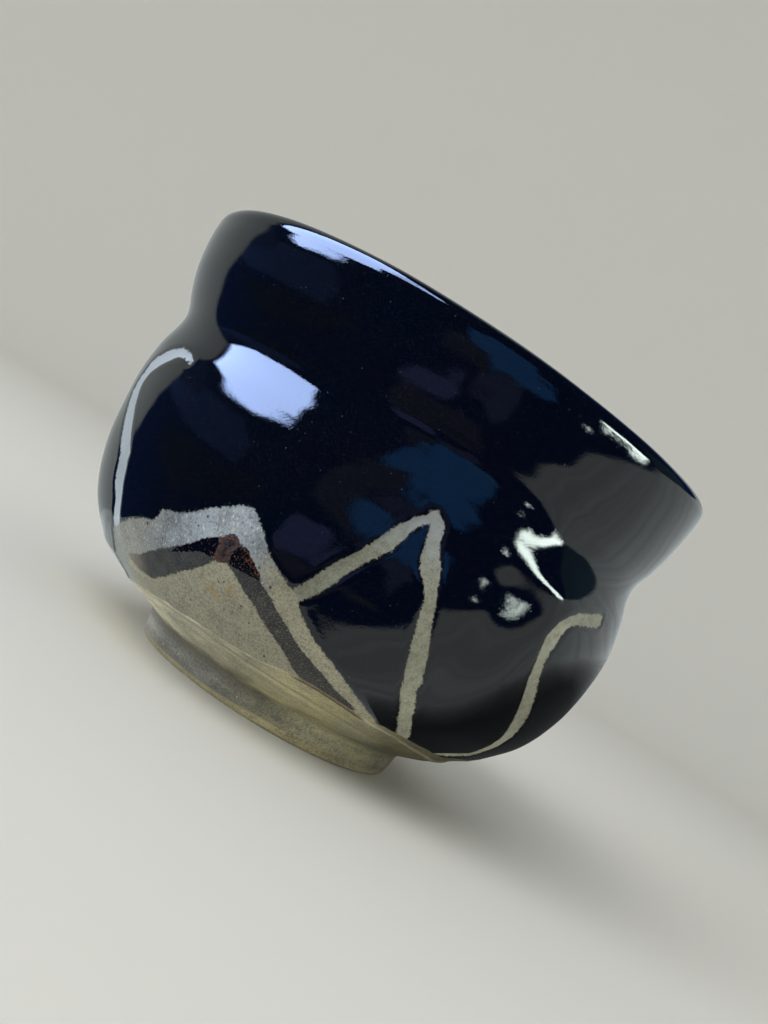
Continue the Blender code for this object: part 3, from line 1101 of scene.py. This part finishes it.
# Cards that show in the glaze, as corners in azimuth and elevation, then colour and strength
CARDS = {
    "window": ([(-96, 17), (-86, 13.5), (-80, 11.5), (-63, 12.5), (-53.5, 16), (-46, 18.5),
                (-48.5, 30), (-45, 38), (-44, 44), (-55, 62), (-92, 62), (-93, 44), (-97, 24)],
               WINDOW_COLOUR, 17.4),
    "window_top": ([(-55, 48), (-45, 36), (-22, 47), (-22, 54), (-52, 60)], WINDOW_COLOUR, 12),
    "lamp": ([(54.8, 10), (55, 12.9), (60, 13.1), (66, 12.9), (70, 12.3), (76, 11.4),
              (82, 11.1), (82, 8), (80, 6.5), (73.5, 6.4), (71.5, 7.8), (62.5, 8.2),
              (60.9, 8.6), (59, 8), (57.4, 7.4), (56.8, 8.8)], LAMP_COLOUR, 18),
    "lamp_spot": ([(50.1, 2), (50.1, 3.6), (51.3, 3.9), (51.8, 3), (52.3, 2), (51.7, 2.1),
                   (51.1, 2.5)], LAMP_COLOUR, 18),
}
DIM_CARDS = [
    ([(-6.5, 15), (-5.5, 11), (-1, 6), (5, 6), (5.5, 1.5), (8, -3), (14, 0), (20, -2),
      (32, -0.5), (37, 5), (34, 9), (24, 11), (24, 26), (4, 27), (-1, 17)],
     (0.085, 0.36, 1), 0.69),
    ([(-22, -23), (-19, -18), (-15, -12), (-6, -10.5), (1.5, -8), (3.5, -13), (1, -21),
      (-8, -22.5)], (0.31, 0.39, 1), 0.42),
    ([(-12, -2), (-12, 5), (-8, 9), (-2, 7), (2, 5), (5, 5), (5.5, 0), (7, -5), (3, -3)],
     (0.45, 0.56, 1), 0.14),
    ([(-24.5, -33), (-20, -25), (-18, -23), (5, -23), (18, -22), (25, -24.5), (5, -28)],
     (0.55, 0.6, 1), 0.13),
    ([(5.5, -9.5), (6, -5), (13, -1.5), (22, -1.5), (25, -10), (22, -18), (17, -14), (14, -10)],
     (0.34, 0.46, 1), 0.24),
    ([(-111, 4), (-90, 8), (-64, 8), (-54, 0), (-58, -8), (-78, -6), (-100, -2)],
     (0.16, 0.35, 1), 0.23),
    ([(-101, -8), (-80, -9), (-58, -10), (-42, -8), (-40, -14), (-55, -20), (-84, -20)],
     (0.25, 0.47, 1), 0.07),
    ([(-135, 12), (-98, 13), (-88, 5), (-111, 5), (-128, -8)], (0.19, 0.37, 1), 0.13),
    ([(80, 31), (84, 22), (84, 13), (90, 8), (118, 0), (118, 31)], (0.36, 0.68, 1), 0.14),
]
DIM_DISTANCE = 0.95

# The pale surface that the photographed bowl lay on shows in the glaze. Its place, in millimetres
# along its own right and away directions, was worked out from the reflections.
SHEET_UP = Vector((-0.494, -0.342, 0.8)).normalized()
SHEET_RIGHT = Vector((0.8534, -0.0136, 0.5211))
SHEET_AWAY = SHEET_UP.cross(SHEET_RIGHT)
SHEET_DROP = -17.8
SHEET_EDGE = [
    (-240, -215), (-80, -215), (0, -176), (60, -178), (80, -210), (104, -205), (128, -182),
    (160, -176), (205, -178), (226, -160), (238, -78), (242, 150), (-240, 150),
]
# It is made in narrow strips with dark gaps between them. The first lies a little inside the
# edge, and each ends where the edge is a little way into it.
STRIP_PITCH = 3.6
STRIP_GAP = 0.1
STRIP_GLOWS = [0.56, 0.63, 0.69]
STRIP_SEED = 5
FIRST_STRIP = 1.0
STRIP_ENDS_AT = 0.5
SHEET_BACK = 150.0
SHEET_HALF = 240.0
SHEET_WALL = 330.0
WALL_GLOW = 0.45
PALE = (0.91, 0.99, 1)
# The surface is in shade close to where the bowl lay: where the shade begins and where it is full,
# and how much the surface glows at both.
SHADE_BEGINS = [
    (20, -62), (40, -67), (60, -69), (86, -68), (99, -52), (110, -28), (111, -8), (108, 10),
    (99, 38), (90, 60), (20, 60),
]
SHADE_FULL = [
    (20, -40), (36, -40), (54, -43), (70, -36), (84, -28), (92, -16), (92, -4), (85, 6),
    (76, 14), (50, 24), (20, 24),
]
SHADE_GLOWS = (0.54, 0.05)
SHADE_LEVELS = 10
SHADE_STEP = 0.03

# Lights that don't show in the glaze: direction, distance, size, energy and colour
AREA_LIGHTS = {
    "overhead": ((-0.45, -0.55, 0.7), 1.15, 1.1, 7, (1, 0.985, 0.95)),
    "window_fill": ((-0.88, -0.45, 0.16), 0.9, 0.5, 3.6, (0.8, 0.9, 1)),
}

# The room all round, as colour and strength: how it lights, and how it shows in the glaze
ROOM_LIGHT = ((0.95, 0.97, 1), 0.55)
ROOM_IN_GLAZE = ((0.08, 0.26, 1), 0.105)


def on_sheet(right, away, up=0.0):
    return (SHEET_RIGHT * right + SHEET_AWAY * away + SHEET_UP * (up + SHEET_DROP)) * MM


def crossings(away):
    """Where a strip at that away value enters and leaves the sheet's outline."""
    found = []
    for (r0, a0), (r1, a1) in zip(SHEET_EDGE, SHEET_EDGE[1:] + SHEET_EDGE[:1]):
        if (a0 > away) != (a1 > away):
            found.append(r0 + (away - a0) * (r1 - r0) / (a1 - a0))
    return sorted(found)


def make_sheet():
    """The pale sheet in strips, and the pale wall at its far edge."""
    pick_glow = random.Random(STRIP_SEED)
    corners, strips, chosen = [], [], []
    first = min(away for _, away in SHEET_EDGE) + FIRST_STRIP
    for away in np.arange(first, SHEET_BACK, STRIP_PITCH):
        far_side = away + STRIP_PITCH - STRIP_GAP
        ends = crossings(away + STRIP_ENDS_AT)
        for left, right in zip(ends[::2], ends[1::2]):
            strips.append(range(len(corners), len(corners) + 4))
            corners += [on_sheet(left, away), on_sheet(right, away),
                        on_sheet(right, far_side), on_sheet(left, far_side)]
            chosen.append(pick_glow.randrange(len(STRIP_GLOWS)))
    sheet = make_card("pale_sheet", corners, strips,
                      [glow(f"pale_strip_{number}", PALE, strength)
                       for number, strength in enumerate(STRIP_GLOWS)])
    sheet.data.polygons.foreach_set("material_index", np.array(chosen, np.int32))
    wall = [(-SHEET_HALF, 0), (SHEET_HALF, 0), (SHEET_HALF, SHEET_WALL),
            (-SHEET_HALF, SHEET_WALL)]
    make_plain_card("pale_sheet_wall", [on_sheet(right, SHEET_BACK, up) for right, up in wall],
                    "pale_wall_glow", PALE, WALL_GLOW)


def make_shade():
    """The shaded part of the sheet: cards that grow darker towards its middle."""
    first, last = SHADE_GLOWS
    for level in range(SHADE_LEVELS):
        share = level / (SHADE_LEVELS - 1)
        up = SHADE_STEP * (level + 1)
        corners = [on_sheet(r0 + (r1 - r0) * share, a0 + (a1 - a0) * share, up)
                   for (r0, a0), (r1, a1) in zip(SHADE_BEGINS, SHADE_FULL)]
        make_plain_card(f"sheet_shade_{level}", corners, f"shade_glow_{level}", PALE,
                        first * (last / first) ** share)


def make_lights():
    for name, (outline, colour, strength) in CARDS.items():
        make_plain_card(name + "_light", around_bowl(outline, CARD_DISTANCE),
                        name + "_glow", colour, strength)
    for number, (outline, colour, strength) in enumerate(DIM_CARDS):
        make_plain_card(f"dim_card_{number}", around_bowl(outline, DIM_DISTANCE),
                        f"dim_glow_{number}", colour, strength)
    make_sheet()
    make_shade()
    for name, (direction, distance, size, energy, colour) in AREA_LIGHTS.items():
        light = bpy.data.lights.new(name, "AREA")
        light.shape = "DISK"
        light.size = size
        light.energy = energy
        light.color = colour
        direction = Vector(direction).normalized()
        hung = new_object(name, light)
        hung.location = direction * distance
        hung.rotation_euler = direction.to_track_quat("Z", "Y").to_euler()
        hung.visible_glossy = False


def make_room():
    world = bpy.data.worlds.new("studio")
    world.use_nodes = True
    graph = Graph(world.node_tree)
    glossy = graph.node("ShaderNodeLightPath", None, None, "Is Glossy Ray")
    lit, shown = [
        graph.node("ShaderNodeBackground", None, {"Color": colour, "Strength": strength})
        for colour, strength in (ROOM_LIGHT, ROOM_IN_GLAZE)]
    both = graph.node("ShaderNodeMixShader", None, {0: glossy, 1: lit, 2: shown})
    graph.node("ShaderNodeOutputWorld", None, {"Surface": both})
    bpy.context.scene.world = world


def make_camera():
    camera = bpy.data.cameras.new("camera")
    camera.lens = CAMERA_LENS
    camera.clip_start = CAMERA_NEAR
    roll = math.radians(CAMERA_ROLL)
    ahead = towards(180 - CAMERA_YAW, CAMERA_PITCH)
    right = towards(90 - CAMERA_YAW, 0)
    up = right.cross(ahead)
    rolled_right = right * math.cos(roll) + up * math.sin(roll)
    rolled_up = up * math.cos(roll) - right * math.sin(roll)
    turned = Matrix((rolled_right, rolled_up, -ahead)).transposed().to_4x4()
    viewer = new_object("camera", camera)
    viewer.matrix_world = Matrix.Translation(CAMERA_PLACE) @ turned
    bpy.context.scene.camera = viewer


make_tea_bowl()
make_cove()
make_lights()
make_room()
make_camera()
bpy.context.scene.view_settings.view_transform = "Standard"
